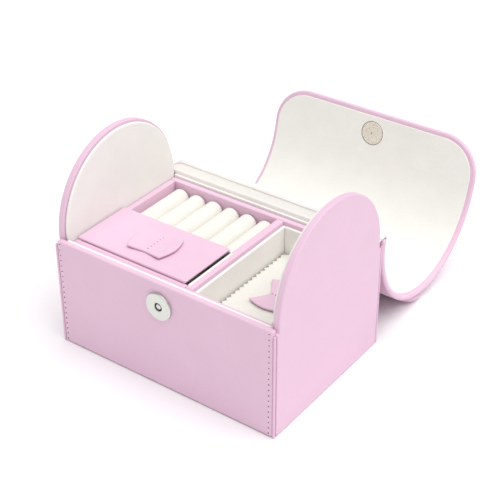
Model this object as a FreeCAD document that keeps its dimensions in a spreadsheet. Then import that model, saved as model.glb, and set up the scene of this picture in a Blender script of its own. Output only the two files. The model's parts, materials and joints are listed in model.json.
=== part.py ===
import FreeCAD, Part
import math
import os

import Sketcher

# Leather jewellery case: a board box wrapped in pink leather with arched ends, a curved lid that
# swings right over behind it, a lift-out tray with ring rolls, a covered earring bay and a deep well.
# Millimetres. X runs along the front, Y from front to back, Z up, origin under the middle of the base.

SIZES = {
    # Outer case
    "case_width": 160.0,
    "case_depth": 112.0,
    "wall_height": 74.0,
    "board": 4.0,
    "arch_rise": 2.0,
    "base_thick": 3.0,
    # Velvet linings of the case
    "lining_thick": 2.0,
    "lining_inset": 1.6,
    "lining_drop": 1.5,
    "floor_velvet": 1.5,
    # Ledges that carry the tray
    "ledge_width": 4.0,
    "ledge_thick": 4.0,
    "ledge_top": 44.0,
    # Lift-out tray
    "tray_play": 0.4,
    "tray_height": 26.5,
    "tray_wall": 4.0,
    "tray_floor_thick": 2.0,
    "divider_at": 10.5,
    "divider_thick": 5.0,
    "cross_wall_thick": 3.0,
    "earring_pad_thick": 2.0,
    # Ring rolls
    "ring_roll_count": 6.0,
    "ring_roll_height": 22.0,
    "ring_roll_play": 0.2,
    # Velvet well on the right of the tray
    "well_skin": 2.0,
    "well_depth": 55.0,
    "well_rim_drop": 2.5,
    "rest_width": 2.0,
    "rest_thick": 2.8,
    "rest_drop": 20.2,
    # Loose cover of the well
    "cover_play": 0.6,
    "cover_board_thick": 1.4,
    "cover_velvet_thick": 1.0,
    # Loose lid of the earring bay
    "bay_lid_thick": 1.8,
    "bay_lid_front_gap": 2.2,
    "bay_lid_left_gap": 0.6,
    "bay_lid_right_gap": 1.6,
    "bay_lid_bearing": 1.0,
    "bay_pad_thick": 1.2,
    "bay_pad_play": 0.8,
    # Bow pull tabs
    "bow_length": 30.0,
    "bow_end_width": 26.0,
    "bay_bow_waist": 20.5,
    "cover_bow_waist": 10.0,
    "bow_thick": 1.4,
    "bay_bow_across": 3.0,
    "bay_bow_forward": 1.5,
    # Magnetic snap
    "snap_radius": 9.0,
    "snap_proud": 1.8,
    "snap_hole_radius": 2.6,
    "snap_drop": 17.0,
    "magnet_radius": 6.8,
    "magnet_thick": 2.0,
    "magnet_play": 0.2,
    "plate_radius": 8.0,
    "plate_thick": 1.0,
    "plate_play": 0.5,
    "plate_eye_radius": 1.2,
    # Rolled hinge
    "hinge_out": 2.0,
    "hinge_rise": 3.5,
    "hinge_roll_radius": 2.2,
    "hinge_roll_inset": 1.0,
    "hinge_foot": 2.5,
    # Lid
    "lid_room": 4.0,
    "lid_forward": 2.0,
    "lid_velvet": 1.2,
    "lid_board": 3.6,
    "lid_margin": 3.0,
    "flap_length": 32.0,
    "flap_corner": 26.0,
    "lid_hinge_gap": 0.8,
    "open_angle": 192.0,
    # Handle strap on the lid
    "strap_width": 22.0,
    "strap_inset": 1.0,
    "strap_thick": 1.4,
    "strap_gap": 0.9,
    "strap_corner": 9.0,
    "strap_forward": 4.0,
    "rivet_inset": 17.0,
    "rivet_radius": 1.5,
    "rivet_head_radius": 3.5,
    "rivet_head_thick": 1.5,
    "rivet_depth": 2.0,
    "rivet_play": 0.2,
}

# Slack used only to recognise edges by their place
SAME_PLACE = 1e-4

doc = FreeCAD.newDocument("jewellery_case")
sheet = doc.addObject("Spreadsheet::Sheet", "sizes")
for row, (alias, number) in enumerate(SIZES.items(), 1):
    sheet.set(f"A{row}", alias)
    sheet.set(f"B{row}", str(number))
    sheet.setAlias(f"B{row}", alias)
doc.recompute()


class Formula:
    """A length worked out from the sheet: its value now, and the expression that keeps it bound."""

    def __init__(self, value, text):
        self.value = value
        self.text = text

    def __add__(self, other):
        other = formula(other)
        return Formula(self.value + other.value, f"({self.text} + {other.text})")

    def __sub__(self, other):
        other = formula(other)
        return Formula(self.value - other.value, f"({self.text} - {other.text})")

    def __mul__(self, other):
        other = formula(other)
        return Formula(self.value * other.value, f"({self.text} * {other.text})")

    def __truediv__(self, other):
        other = formula(other)
        return Formula(self.value / other.value, f"({self.text} / {other.text})")

    def __neg__(self):
        return Formula(-self.value, f"(0 - {self.text})")


def formula(thing):
    if isinstance(thing, Formula):
        return thing
    return Formula(float(thing), f"({float(thing)})")


def root(inside):
    return Formula(math.sqrt(inside.value), f"sqrt({inside.text})")


def size(alias):
    return Formula(float(sheet.get(alias)), f"sizes.{alias}")


def bind(thing, name, value):
    thing.setExpression(name, formula(value).text)


# Small builders

AXIS_TURN = {
    "x": FreeCAD.Rotation(FreeCAD.Vector(0, 1, 0), 90),
    "y": FreeCAD.Rotation(FreeCAD.Vector(1, 0, 0), -90),
    "z": FreeCAD.Rotation(),
}


def place(thing, x=0.0, y=0.0, z=0.0):
    for letter, value in zip("xyz", (x, y, z)):
        bind(thing, f"Placement.Base.{letter}", value)
    return thing


def block(name, x, y, z):
    """A board between two places along each axis."""
    box = doc.addObject("Part::Box", name)
    for side, (low, high) in zip(("Length", "Width", "Height"), (x, y, z)):
        bind(box, side, formula(high) - low)
    return place(box, x[0], y[0], z[0])


def rod(name, axis, radius, length, start):
    """A round bar that leaves its start along one axis."""
    bar = doc.addObject("Part::Cylinder", name)
    bar.Placement = FreeCAD.Placement(FreeCAD.Vector(), AXIS_TURN[axis])
    bind(bar, "Radius", radius)
    bind(bar, "Height", length)
    return place(bar, *start)


def cut(name, base, tool):
    result = doc.addObject("Part::Cut", name)
    result.Base = base
    result.Tool = tool
    return result


def fuse(name, *shapes):
    result = doc.addObject("Part::MultiFuse", name)
    result.Shapes = list(shapes)
    return result


def origin_plane(body, role):
    for feature in body.Origin.OriginFeatures:
        if feature.Role == role:
            return feature
    raise ValueError(f"{body.Name} has no {role}")


class Bend:
    """An arc in an outline, from the point before it to its end, round a centre."""

    def __init__(self, centre, end, left_turn):
        self.centre = centre
        self.end = end
        self.left_turn = left_turn


def plain(point):
    return FreeCAD.Vector(formula(point[0]).value, formula(point[1]).value, 0)


def draw(sketch, start, steps):
    """Draw a closed outline of lines and arcs, and bind every corner and arc centre to the sheet."""
    corners = []
    here = plain(start)
    for step in list(steps) + [start]:
        bend = step if isinstance(step, Bend) else None
        there = plain(bend.end if bend else step)
        if bend:
            middle = plain(bend.centre)
            first, last = (here, there) if bend.left_turn else (there, here)
            angles = [math.atan2(spot.y - middle.y, spot.x - middle.x) for spot in (first, last)]
            circle = Part.Circle(middle, FreeCAD.Vector(0, 0, 1), (here - middle).Length)
            edge = sketch.addGeometry(Part.ArcOfCircle(circle, *angles))
        else:
            edge = sketch.addGeometry(Part.LineSegment(here, there))
        backward = bool(bend) and not bend.left_turn
        corners.append((edge, 2 if backward else 1, 1 if backward else 2, step))
        here = there

    def measure(edge, corner, kind, value):
        number = sketch.addConstraint(Sketcher.Constraint(kind, edge, corner, formula(value).value))
        bind(sketch, f"Constraints[{number}]", value)

    for (edge, head, tail, step), following in zip(corners, corners[1:] + corners[:1]):
        sketch.addConstraint(Sketcher.Constraint("Coincident", edge, tail, following[0], following[1]))
        if isinstance(step, Bend):
            measure(edge, 3, "DistanceX", step.centre[0])
            measure(edge, 3, "DistanceY", step.centre[1])
            measure(edge, tail, "DistanceY", step.end[1])
        else:
            measure(edge, tail, "DistanceX", step[0])
            measure(edge, tail, "DistanceY", step[1])


def padded_outline(name, role, start, steps, length):
    """A body made by one outline on an origin plane, padded along that plane's normal."""
    body = doc.addObject("PartDesign::Body", name)
    sketch = body.newObject("Sketcher::SketchObject", f"{name}_outline")
    sketch.AttachmentSupport = [(origin_plane(body, role), "")]
    sketch.MapMode = "FlatFace"
    draw(sketch, start, steps)
    pad = body.newObject("PartDesign::Pad", f"{name}_pad")
    pad.Profile = sketch
    bind(pad, "Length", length)
    body.Tip = pad
    doc.recompute()
    return body


def rounded(body, radius, wanted):
    """Round the straight edges of a body whose two ends are picked by the test."""
    base = body.Tip
    names = []
    for number, edge in enumerate(base.Shape.Edges, 1):
        ends = [corner.Point for corner in edge.Vertexes]
        if len(ends) == 2 and wanted(*ends):
            names.append(f"Edge{number}")
    round_off = body.newObject("PartDesign::Fillet", f"{body.Name}_corners")
    round_off.Base = (base, names)
    bind(round_off, "Radius", radius)
    body.Tip = round_off
    doc.recompute()
    return body


nodes = []


def node(thing):
    thing.Label = thing.Name
    nodes.append(thing)
    return thing


# Shared places

half_width = size("case_width") / 2
half_depth = size("case_depth") / 2
inner_x = half_width - size("board")
inner_y = half_depth - size("board")
lined_x = inner_x - size("lining_thick")
lined_y = inner_y - size("lining_thick")
wall_top = size("wall_height")
arch_centre = wall_top + size("arch_rise")
floor_top = size("base_thick") + size("floor_velvet")
snap_height = arch_centre - size("snap_drop")

tray_low = size("ledge_top")
tray_top = tray_low + size("tray_height")
tray_x = lined_x - size("tray_play")
tray_y = lined_y - size("tray_play")
bay_x = tray_x - size("tray_wall")
bay_y = tray_y - size("tray_wall")
tray_floor_top = tray_low + size("tray_floor_thick")
cross_back = size("cross_wall_thick") / 2
divider_left = size("divider_at")
divider_right = divider_left + size("divider_thick")

hinge_y = half_depth + size("hinge_out")
hinge_z = wall_top + size("hinge_rise")


# Case boards

def make_case_boards():
    width = (-half_width, half_width)
    tall = (0, wall_top)
    front = block("front_board", width, (-half_depth, -inner_y), tall)
    seat_radius = size("magnet_radius") + size("magnet_play")
    seat_start = (0, -inner_y - size("magnet_thick"), snap_height)
    seat = rod("magnet_seat", "y", seat_radius, size("magnet_thick"), seat_start)
    node(cut("front_panel", front, seat))
    node(block("back_panel", width, (inner_y, half_depth), tall))
    node(block("base_board", (-inner_x, inner_x), (-inner_y, inner_y), (0, size("base_thick"))))
    node(place(arched("left_end_panel", inner_y, 0, size("board")), -half_width))
    node(place(arched("right_end_panel", inner_y, 0, size("board")), inner_x))
    magnet_start = (0, -inner_y - size("magnet_thick"), snap_height)
    node(rod("closure_magnet", "y", size("magnet_radius"), size("magnet_thick"), magnet_start))


def arched(name, radius, low, thick):
    """An upright board with a half-round top."""
    steps = [
        (radius, low),
        (radius, arch_centre),
        Bend((0, arch_centre), (-radius, arch_centre), left_turn=True),
    ]
    return padded_outline(name, "YZ_Plane", (-radius, low), steps, thick)


# Case linings, ledges, snap and hinge roll

def make_case_fittings():
    base_top = size("base_thick")
    radius = inner_y - size("lining_inset")
    node(place(arched("left_lining", radius, base_top, size("lining_thick")), -inner_x))
    node(place(arched("right_lining", radius, base_top, size("lining_thick")), lined_x))
    length = (-lined_x, lined_x)
    tall = (base_top, wall_top - size("lining_drop"))
    node(block("front_lining", length, (-inner_y, -lined_y), tall))
    node(block("back_lining", length, (lined_y, inner_y), tall))
    node(block("floor_lining", length, (-lined_y, lined_y), (base_top, floor_top)))

    ledge_y = lined_y - size("ledge_width")
    deep = (tray_low - size("ledge_thick"), tray_low)
    node(block("front_ledge", length, (-lined_y, -ledge_y), deep))
    node(block("back_ledge", length, (ledge_y, lined_y), deep))

    snap_face = (0, -half_depth - size("snap_proud"), snap_height)
    disc = rod("snap_disc", "y", size("snap_radius"), size("snap_proud"), snap_face)
    hole = rod("snap_hole", "y", size("snap_hole_radius"), size("snap_proud"), snap_face)
    node(cut("snap_socket", disc, hole))

    end = half_width - size("hinge_roll_inset")
    roll = rod("hinge_bolster", "x", size("hinge_roll_radius"), end * 2, (-end, hinge_y, hinge_z))
    foot_y = (half_depth - size("hinge_foot"), half_depth)
    foot = block("hinge_foot_strip", (-end, end), foot_y, (wall_top, hinge_z))
    node(fuse("hinge_roll", roll, foot))


# Tray

def make_tray():
    tall = (tray_low, tray_top)
    node(block("tray_front_wall", (-tray_x, tray_x), (-tray_y, -bay_y), tall))
    node(block("tray_back_wall", (-tray_x, tray_x), (bay_y, tray_y), tall))
    node(block("tray_left_wall", (-tray_x, -bay_x), (-bay_y, bay_y), tall))
    node(block("tray_right_wall", (bay_x, tray_x), (-bay_y, bay_y), tall))
    node(block("tray_divider", (divider_left, divider_right), (-bay_y, bay_y), tall))
    left_part = (-bay_x, divider_left)
    node(block("tray_floor", left_part, (-bay_y, bay_y), (tray_low, tray_floor_top)))
    node(block("tray_cross_wall", left_part, (-cross_back, cross_back), (tray_floor_top, tray_top)))
    pad_top = tray_floor_top + size("earring_pad_thick")
    node(block("earring_pad", left_part, (-bay_y, -cross_back), (tray_floor_top, pad_top)))
    make_ring_rolls()


def make_ring_rolls():
    """Velvet rolls side by side, each with upright sides and a half-round crown."""
    count = int(SIZES["ring_roll_count"])
    play = size("ring_roll_play")
    pitch = (divider_left + bay_x) / count
    half = (pitch - play) / 2
    shoulder = tray_floor_top + size("ring_roll_height") - half
    back = bay_y - play
    length = back - cross_back - play
    for number in range(count):
        steps = [
            (half, tray_floor_top),
            (half, shoulder),
            Bend((0, shoulder), (-half, shoulder), left_turn=True),
        ]
        start = (-half, tray_floor_top)
        roll = padded_outline(f"ring_roll_{number + 1}", "XZ_Plane", start, steps, length)
        node(place(roll, pitch * (number + 0.5) - bay_x, back))


# Velvet well and its loose cover

def make_well():
    skin = size("well_skin")
    rim = tray_top - size("well_rim_drop")
    low = rim - size("well_depth")
    left = divider_right + skin
    right = bay_x - skin
    front = bay_y - skin
    tall = (low, rim)
    node(block("well_left_wall", (divider_right, left), (-bay_y, bay_y), tall))
    node(block("well_right_wall", (right, bay_x), (-bay_y, bay_y), tall))
    node(block("well_front_wall", (left, right), (-bay_y, -front), tall))
    node(block("well_back_wall", (left, right), (front, bay_y), tall))
    node(block("well_floor", (left, right), (-front, front), (low, low + skin)))
    rest_top = rim - size("rest_drop")
    rest = (rest_top - size("rest_thick"), rest_top)
    rest_inner = front - size("rest_width")
    node(block("cover_front_rest", (left, right), (-front, -rest_inner), rest))
    node(block("cover_back_rest", (left, right), (rest_inner, front), rest))

    play = size("cover_play")
    wide = (left + play, right - play)
    deep = (play - front, front - play)
    board_top = rest_top + size("cover_board_thick")
    velvet_top = board_top + size("cover_velvet_thick")
    node(block("cover_board", wide, deep, (rest_top, board_top)))
    node(block("cover_velvet", wide, deep, (board_top, velvet_top)))
    bow = bow_tab("cover_bow", size("cover_bow_waist"), along_x=False)
    node(place(bow, (left + right) / 2, 0, velvet_top))


def bow_tab(name, waist, along_x):
    """A flat bow cut from leather, wide at both ends and drawn in at the sewn waist."""
    half_length = size("bow_length") / 2
    half_end = size("bow_end_width") / 2
    half_waist = waist / 2
    corners = [
        (-half_length, -half_end),
        (0, -half_waist),
        (half_length, -half_end),
        (half_length, half_end),
        (0, half_waist),
        (-half_length, half_end),
    ]
    if not along_x:
        corners = [(across, along) for along, across in reversed(corners)]
    return padded_outline(name, "XY_Plane", corners[0], corners[1:], size("bow_thick"))


# Loose lid of the earring bay

def make_bay_lid():
    wide = (size("bay_lid_left_gap") - tray_x, divider_left - size("bay_lid_right_gap"))
    deep = (size("bay_lid_front_gap") - bay_y, size("bay_lid_bearing") - cross_back)
    top = tray_top + size("bay_lid_thick")
    node(block("bay_lid_board", wide, deep, (tray_top, top)))
    play = size("bay_pad_play")
    pad_right = wide[1] - play / 2
    pad_deep = (deep[0] + play, -cross_back - play)
    pad_tall = (tray_top - size("bay_pad_thick"), tray_top)
    node(block("bay_lid_pad", (play - bay_x, pad_right), pad_deep, pad_tall))
    bow = bow_tab("bay_bow", size("bay_bow_waist"), along_x=True)
    middle_x = (wide[0] + wide[1]) / 2 + size("bay_bow_across")
    middle_y = (deep[0] + deep[1]) / 2 - size("bay_bow_forward")
    node(place(bow, middle_x, middle_y, top))


# Lid, drawn shut and then swung open about the hinge

lid_y = -size("lid_forward")
lid_inner = inner_y + size("lid_room")
shell_inner = lid_inner + size("lid_velvet")
shell_outer = shell_inner + size("lid_board")
flap_low = arch_centre - size("flap_length")
lid_back_low = hinge_z + size("hinge_roll_radius") + size("lid_hinge_gap")


def swung(thing, x=0.0):
    """Turn a piece of the shut lid about the hinge to its open place."""
    thing.Placement = FreeCAD.Placement(FreeCAD.Vector(), FreeCAD.Rotation(FreeCAD.Vector(1, 0, 0), 90))
    turn = f"(360 - {size('open_angle').text}) * 1 deg"
    thing.setExpression("Placement.Rotation.Angle", turn)
    bind(thing, "Placement.Base.x", x)
    along, up = hinge_y.text, hinge_z.text
    thing.setExpression("Placement.Base.y", f"{along} - cos({turn}) * {along} + sin({turn}) * {up}")
    thing.setExpression("Placement.Base.z", f"{up} - sin({turn}) * {along} - cos({turn}) * {up}")
    return node(thing)


def curved_sheet(name, inner, outer, low, back_low, length):
    """A sheet that runs up the front flap and over the crown to the hinge side."""
    centre = (lid_y, arch_centre)
    rise = back_low - arch_centre
    back_inner = lid_y + root(inner * inner - rise * rise)
    back_outer = lid_y + root(outer * outer - rise * rise)
    steps = [
        (lid_y - outer, arch_centre),
        Bend(centre, (back_outer, back_low), left_turn=False),
        (back_inner, back_low),
        Bend(centre, (lid_y - inner, arch_centre), left_turn=True),
        (lid_y - inner, low),
    ]
    return padded_outline(name, "YZ_Plane", (lid_y - outer, low), steps, length)


def flap_corners(low):
    def wanted(one, other):
        level = abs(one.z - low.value) < SAME_PLACE and abs(other.z - low.value) < SAME_PLACE
        return level and abs(one.x - other.x) < SAME_PLACE
    return wanted


def upright(one, other):
    return abs(one.x - other.x) < SAME_PLACE and abs(one.y - other.y) < SAME_PLACE


def rivet_holes(name, low, length):
    radius = size("rivet_radius") + size("rivet_play")
    return fuse(name, *[
        rod(f"{name}_{side}", "z", radius, length, (across, strap_y, low))
        for side, across in (("left", -rivet_x), ("right", rivet_x))
    ])


strap_y = lid_y - size("strap_forward")
strap_end = half_width - size("strap_inset")
strap_low = arch_centre + shell_outer + size("strap_gap")
strap_top = strap_low + size("strap_thick") * 2
rivet_x = strap_end - size("rivet_inset")
crown_outer = arch_centre + shell_outer


def make_lid():
    width = size("case_width")
    shell = curved_sheet("shell_sheet", shell_inner, shell_outer, flap_low, lid_back_low, width)
    rounded(shell, size("flap_corner"), flap_corners(flap_low))
    place(shell, -half_width)
    board = size("lid_board")
    holes = rivet_holes("shell_rivet_holes", arch_centre + shell_inner - board, board * 3)
    swung(cut("lid_shell", shell, holes))

    margin = size("lid_margin")
    lining_low = flap_low + margin
    lining_back = lid_back_low + margin
    lining = curved_sheet("lining_sheet", lid_inner, shell_inner, lining_low, lining_back, width - margin * 2)
    rounded(lining, size("flap_corner") - margin, flap_corners(lining_low))
    place(lining, margin - half_width)
    plate_face = (0, lid_y - shell_inner, snap_height)
    window_radius = size("plate_radius") + size("plate_play")
    window = rod("plate_window", "y", window_radius, size("lid_velvet") * 2, plate_face)
    swung(cut("lid_lining", lining, window))

    plate_blank = rod("plate_blank", "y", size("plate_radius"), size("plate_thick"), plate_face)
    plate_eye = rod("plate_eye", "y", size("plate_eye_radius"), size("plate_thick"), plate_face)
    swung(cut("lid_snap_plate", plate_blank, plate_eye))


def make_handle():
    half = size("strap_width") / 2
    corners = [(-strap_end, -half), (strap_end, -half), (strap_end, half), (-strap_end, half)]
    holes = rivet_holes("strap_rivet_holes", strap_low, strap_top - strap_low)
    for name, low in (("strap_lining", strap_low), ("strap_leather", strap_low + size("strap_thick"))):
        layer = padded_outline(f"{name}_blank", "XY_Plane", corners[0], corners[1:], size("strap_thick"))
        rounded(layer, size("strap_corner"), upright)
        place(layer, 0, strap_y, low)
        swung(cut(name, layer, holes))
    shank_low = crown_outer - size("rivet_depth")
    rivets = []
    for side, across in (("left", -rivet_x), ("right", rivet_x)):
        foot = (across, strap_y, shank_low)
        seat = (across, strap_y, strap_top)
        shank = rod(f"rivet_shank_{side}", "z", size("rivet_radius"), strap_top - shank_low, foot)
        head = rod(f"rivet_head_{side}", "z", size("rivet_head_radius"), size("rivet_head_thick"), seat)
        rivets += [shank, head]
    swung(fuse("strap_rivets", *rivets))


def write_parts():
    doc.recompute()
    for thing in doc.Objects:
        if "Invalid" in thing.State or "Error" in thing.State:
            raise RuntimeError(f"{thing.Name} failed: {thing.State}")
    for thing in nodes:
        if thing.Shape.isNull() or not thing.Shape.isValid():
            raise RuntimeError(f"{thing.Label} has no valid shape")
    os.makedirs("parts", exist_ok=True)
    for thing in nodes:
        thing.Shape.exportStep(f"parts/{thing.Label}.step")
        print(thing.Label, len(thing.Shape.Solids), round(thing.Shape.Volume, 1))


make_case_boards()
make_case_fittings()
make_tray()
make_well()
make_bay_lid()
make_lid()
make_handle()
write_parts()
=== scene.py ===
import json
import math

import bmesh
import bpy
from mathutils import Matrix, Vector, noise


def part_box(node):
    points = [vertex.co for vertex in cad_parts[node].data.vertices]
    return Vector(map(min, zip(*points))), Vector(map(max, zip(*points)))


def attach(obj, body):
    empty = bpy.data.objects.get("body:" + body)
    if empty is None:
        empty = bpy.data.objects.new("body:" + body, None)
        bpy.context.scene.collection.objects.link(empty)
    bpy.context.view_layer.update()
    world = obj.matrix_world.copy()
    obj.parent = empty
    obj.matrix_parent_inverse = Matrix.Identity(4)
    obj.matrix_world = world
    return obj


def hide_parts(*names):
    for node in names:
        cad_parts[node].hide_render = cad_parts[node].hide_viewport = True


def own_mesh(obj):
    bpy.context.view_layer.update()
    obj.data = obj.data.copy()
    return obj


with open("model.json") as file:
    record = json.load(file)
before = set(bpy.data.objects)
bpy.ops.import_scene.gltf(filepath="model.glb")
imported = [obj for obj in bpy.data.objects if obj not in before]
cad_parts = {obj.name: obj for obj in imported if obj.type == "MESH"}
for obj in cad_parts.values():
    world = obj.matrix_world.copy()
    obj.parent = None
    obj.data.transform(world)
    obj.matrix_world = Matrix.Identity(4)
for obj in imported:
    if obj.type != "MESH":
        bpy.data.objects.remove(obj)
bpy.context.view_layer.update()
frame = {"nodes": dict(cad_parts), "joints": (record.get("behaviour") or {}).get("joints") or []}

bl_info = {
    "name": "Leather jewellery case",
    "version": (1, 0, 0),
    "blender": (4, 5, 0),
    "location": "View3D > Sidebar > Jewellery case",
    "description": "Dresses the boards, linings and fittings of an arched leather jewellery case",
    "category": "Object",
}

MM = 0.001

# Places taken from the frame
HINGE = next(joint for joint in frame["joints"] if joint["name"] == "lid_hinge")
PIVOT = Vector(HINGE["pos_m"])
SWING = math.radians(HINGE["range_deg"][1])
OPENING = Matrix.Rotation(-SWING, 4, "X")
SHUT_TO_OPEN = Matrix.Translation(PIVOT) @ OPENING @ Matrix.Translation(-PIVOT)
END_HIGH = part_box("right_end_panel")[1]
FRONT_LOW, FRONT_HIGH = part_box("front_panel")
HALF_WIDTH = FRONT_HIGH.x
ARCH_RADIUS = END_HIGH.y
ARCH_CENTRE = END_HIGH.z - ARCH_RADIUS
SNAP_HEIGHT = sum((corner.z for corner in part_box("snap_socket")), 0.0) / 2

# Shape of the shut lid, in step with the solids
LID_FORWARD = 2.0 * MM
LID_ROOM = 4.0 * MM
LID_VELVET = 1.2 * MM
LID_BOARD = 3.6 * MM
LID_MARGIN = 3.0 * MM
LID_BACK_GAP = 0.8 * MM
FLAP_LENGTH = 32.0 * MM
FLAP_CORNER = 26.0 * MM
STRAP_GAP = 0.9 * MM
STRAP_THICK = 1.4 * MM
STRAP_WIDTH = 22.0 * MM
STRAP_INSET = 1.0 * MM
STRAP_CORNER = 9.0 * MM
STRAP_FORWARD = 4.0 * MM
RIVET_INSET = 17.0 * MM

LID_INNER = ARCH_RADIUS + LID_ROOM
SHELL_INNER = LID_INNER + LID_VELVET
SHELL_OUTER = SHELL_INNER + LID_BOARD
LID_BACK_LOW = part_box("hinge_roll")[1].z + LID_BACK_GAP
FLAP_LOW = ARCH_CENTRE - FLAP_LENGTH
STRAP_Y = -LID_FORWARD - STRAP_FORWARD
STRAP_LOW = ARCH_CENTRE + SHELL_OUTER + STRAP_GAP
STRAP_TOP = STRAP_LOW + 2 * STRAP_THICK
STRAP_END = HALF_WIDTH - STRAP_INSET

# Where the snap plate lies in the open lid, and which way it faces
PLATE_SPOT = SHUT_TO_OPEN @ Vector((0, -LID_FORWARD - SHELL_INNER, SNAP_HEIGHT))
PLATE_FACING = SHUT_TO_OPEN.to_3x3() @ Vector((0, 1, 0))

# The camera, from the vanishing lines of the front and the right end
CAMERA_AZIMUTH = math.radians(35.83)
CAMERA_ELEVATION = math.radians(32.91)
CAMERA_DISTANCE = 0.726
CAMERA_TARGET = Vector((0.0229, 0.0, 0.0762))
CAMERA_LENS = 89.7


def linear(hex_colour):
    """A linear colour with full alpha from an sRGB hex value."""
    channels = []
    for start in (1, 3, 5):
        level = int(hex_colour[start:start + 2], 16) / 255
        channels.append(level / 12.92 if level <= 0.04045 else ((level + 0.055) / 1.055) ** 2.4)
    return (*channels, 1.0)


# Sizes and colours that a user would change

def length(name, description, millimetres):
    """A size given in millimetres."""
    return bpy.props.FloatProperty(
        name=name, description=description, default=millimetres * MM,
        unit="LENGTH", subtype="DISTANCE", precision=5
    )


def colour(name, description, hex_colour):
    """A colour given as an sRGB hex value."""
    return bpy.props.FloatVectorProperty(
        name=name, description=description, default=linear(hex_colour),
        size=4, min=0, max=1, subtype="COLOR"
    )


class CaseSizes(bpy.types.PropertyGroup):
    """Rounding, padding and sewing of the case."""

    wrap_round: length("Wrapped edge", "Rounding where leather turns over a board", 0.7)
    panel_round: length("Panel edge", "Rounding of the softer front and back panels", 1.1)
    tray_round: length("Tray edge", "Rounding of the thinner tray boards", 0.8)
    card_round: length("Card edge", "Rounding of a thin covered card", 0.7)
    arch_lining_round: length("End lining edge", "Rounding of the linings of the arched ends", 0.95)
    lid_round: length("Lid edge", "Rounding of the lid's thick rim", 1.5)
    stitch_pitch: length("Stitch pitch", "From one needle hole to the next", 3.9)
    floor_gap: length("Floor gap", "Height of the wrapped panels over the floor", 0.6)
    stitch_inset: length("Stitch inset", "From a panel's end to its row of stitches", 4.0)
    thread_radius: length("Thread", "Radius of the sewing thread", 0.26)
    hole_radius: length("Needle hole", "Radius of a needle hole", 0.40)
    bow_hole_radius: length("Bow needle hole", "Radius of a needle hole in a bow", 0.36)
    bow_lift: length("Bow lift", "How far the wings of a bow curl up", 1.3)
    pinking_pitch: length("Pinking pitch", "From tooth to tooth of the pinked velvet", 4.3)
    pinking_depth: length("Pinking depth", "Depth of a tooth of the pinked velvet", 2.1)


class CaseColours(bpy.types.PropertyGroup):
    """Colours of the leather, velvet and metal."""

    leather: colour("Leather", "Pink of the leather wrap", "#E8C5DA")
    velvet: colour("Velvet", "Off-white of the velvet in the case and lid", "#F6F4EF")
    # The tray's velvet is the case's velvet drawn a little warmer and darker; the darkening is painted
    # shade against the strong light on the tray's tops
    cream_velvet: colour("Tray velvet", "Cream of the velvet in the tray", "#ECEAE3")
    nickel: colour("Nickel", "Plated metal of the snap", "#D3D6CF")
    plate: colour("Plate", "Grit-blasted plate in the lid", "#F6EEE0")
    thread: colour("Thread", "Sewing thread", "#FBDDEE")
    hole: colour("Needle hole", "Shaded inside of a needle hole", "#573850")
    card: colour("Card", "Stiffening board inside", "#DAD4CA")


def sizes():
    return bpy.context.scene.case_sizes


def colours():
    return bpy.context.scene.case_colours


# Materials

def add(tree, kind, settings=None, inputs=None):
    """Add a node, give it its settings, and set or link its inputs."""
    node = tree.nodes.new(kind)
    for name, value in (settings or {}).items():
        setattr(node, name, value)
    for key, value in (inputs or {}).items():
        if isinstance(value, bpy.types.NodeSocket):
            tree.links.new(value, node.inputs[key])
        else:
            node.inputs[key].default_value = value
    return node


def shade_of(shade, factor):
    """A colour made lighter or darker."""
    return (shade[0] * factor, shade[1] * factor, shade[2] * factor, 1.0)


def new_material(name):
    """A material with an empty tree, and the coordinates that its patterns read."""
    made = bpy.data.materials.new(name)
    made.use_nodes = True
    made.node_tree.nodes.clear()
    place = add(made.node_tree, "ShaderNodeTexCoord").outputs["Object"]
    return made, made.node_tree, place


def close_material(tree, surface):
    """Lead the shader to the material's output."""
    add(tree, "ShaderNodeOutputMaterial", inputs={"Surface": surface.outputs[0]})


def embossed_leather():
    """Coated split leather, roller-embossed: a soft satin sheen broken by a fine pebble grain."""
    made, tree, place = new_material("embossed_leather")
    shade = colours().leather
    # Real grain is about 0.4 mm. It is drawn at 1 mm, or it would vanish between pixels.
    grain = add(tree, "ShaderNodeTexVoronoi", {"feature": "SMOOTH_F1"}, {
        "Vector": place, "Scale": 1 / (1.0 * MM)})
    # Handling leaves cloudy patches about a finger across
    handling = add(tree, "ShaderNodeTexNoise", None, {
        "Vector": place, "Scale": 1 / (28 * MM), "Detail": 3.0})
    tint = add(tree, "ShaderNodeMix", {"data_type": "RGBA"}, {
        0: handling.outputs["Fac"], 6: shade_of(shade, 0.95), 7: shade_of(shade, 1.03)})
    pores = add(tree, "ShaderNodeMapRange", None, {
        "Value": grain.outputs["Distance"], "From Max": 0.9, "To Min": 1.0, "To Max": 0.965})
    toned = add(tree, "ShaderNodeMix", {"data_type": "RGBA", "blend_type": "MULTIPLY"}, {
        0: 1.0, 6: tint.outputs[2], 7: pores.outputs["Result"]})
    gloss = add(tree, "ShaderNodeMapRange", None, {
        "Value": handling.outputs["Fac"], "To Min": 0.46, "To Max": 0.60})
    relief = add(tree, "ShaderNodeBump", None, {
        "Strength": 0.10, "Distance": 0.12 * MM, "Height": grain.outputs["Distance"]})
    close_material(tree, add(tree, "ShaderNodeBsdfPrincipled", None, {
        "Base Color": toned.outputs[2], "Roughness": gloss.outputs["Result"],
        "Normal": relief.outputs["Normal"], "IOR": 1.46, "Specular IOR Level": 0.42}))
    return made


def short_pile_velvet():
    """The off-white velvet glued to the cards of the case and the lid."""
    return velvet("short_pile_velvet", colours().velvet)


def cream_velvet():
    """The case's velvet, a little warmer and darker for the tray's soft fittings; the darkening is
    painted shade against the light on their tops.
    """
    return velvet("cream_velvet", colours().cream_velvet)


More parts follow.
